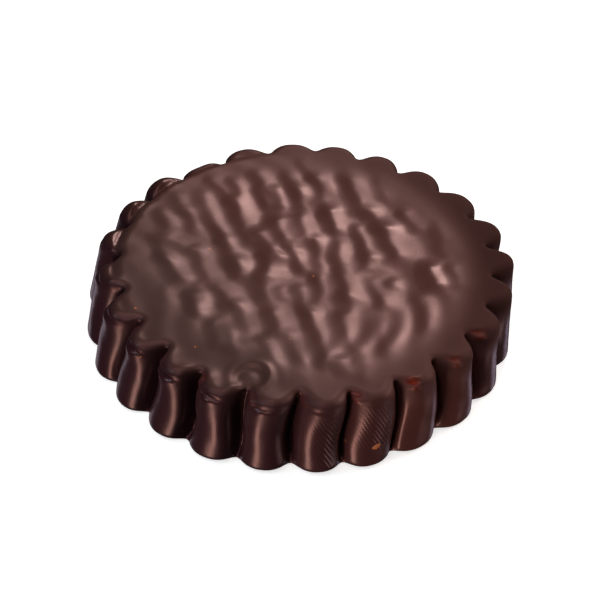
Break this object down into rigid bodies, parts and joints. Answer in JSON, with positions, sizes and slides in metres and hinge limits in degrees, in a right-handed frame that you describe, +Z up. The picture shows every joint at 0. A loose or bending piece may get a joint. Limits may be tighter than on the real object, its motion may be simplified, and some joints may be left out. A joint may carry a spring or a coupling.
{
  "type": "chocolate-coated biscuit",
  "caption": "Thick round butter biscuit with a fluted edge, wholly coated in dark chocolate that is rippled on top and flat underneath.",
  "frame": {"origin": "middle of the flat base", "axes": "+Z up out of the rippled top, -Y towards the viewer of the picture, +X to the viewer's right"},
  "size_m": [0.0622, 0.062, 0.0127],
  "materials": {
    "dark_chocolate": "satin dark chocolate, glossier on the flutes, with fine red-brown specks"
  },
  "bodies": {
    "root": {"chocolate_biscuit": "dark_chocolate"}
  },
  "joints": []
}
